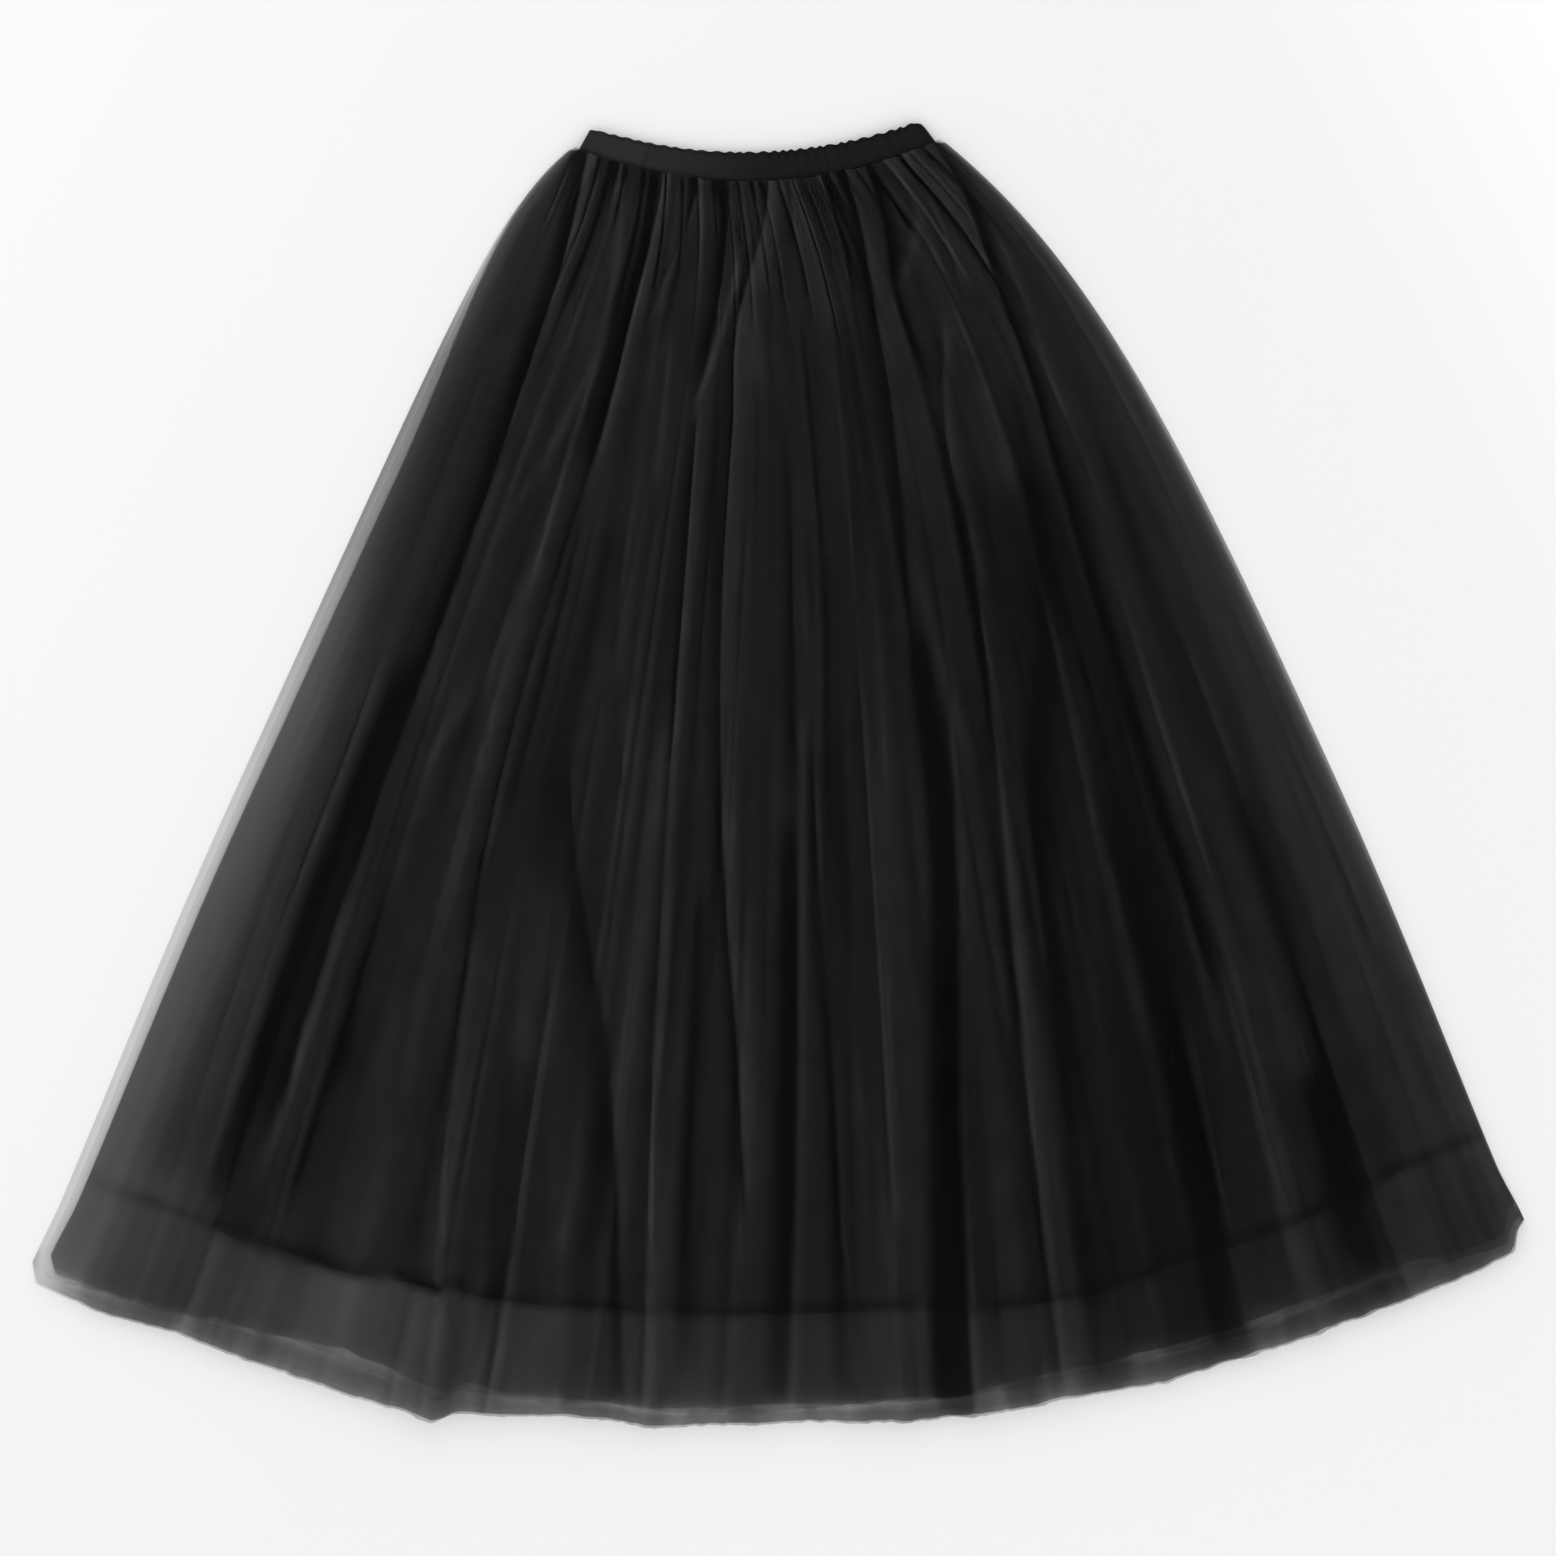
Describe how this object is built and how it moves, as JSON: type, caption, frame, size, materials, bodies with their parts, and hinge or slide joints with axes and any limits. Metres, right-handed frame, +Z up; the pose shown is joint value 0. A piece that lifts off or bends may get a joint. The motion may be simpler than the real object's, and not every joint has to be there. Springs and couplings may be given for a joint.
{
  "type": "tulle skirt",
  "caption": "Floor-length gathered tulle skirt with a ruched elastic waistband and an opaque lining that shows through the net, laid flat",
  "frame": {"origin": "on the surface that the skirt lies on, under the middle of its outline", "axes": "+X towards the right side of the skirt as seen, across the hem; +Y from the hem to the waistband; +Z up, out of the front"},
  "size_m": [1.1966, 1.052, 0.0336],
  "materials": {
    "elastic": "black ruched knitted elastic, matt",
    "tulle": "black fine net, see-through, matt with a faint haze",
    "lining": "black woven lining with a soft sheen"
  },
  "bodies": {
    "root": {"waistband": "elastic", "tulle_outer_back": "tulle", "tulle_outer_front": "tulle", "tulle_middle_back": "tulle", "tulle_middle_front": "tulle", "tulle_inner_back": "tulle", "tulle_inner_front": "tulle", "lining_back": "lining", "lining_front": "lining"}
  },
  "joints": []
}
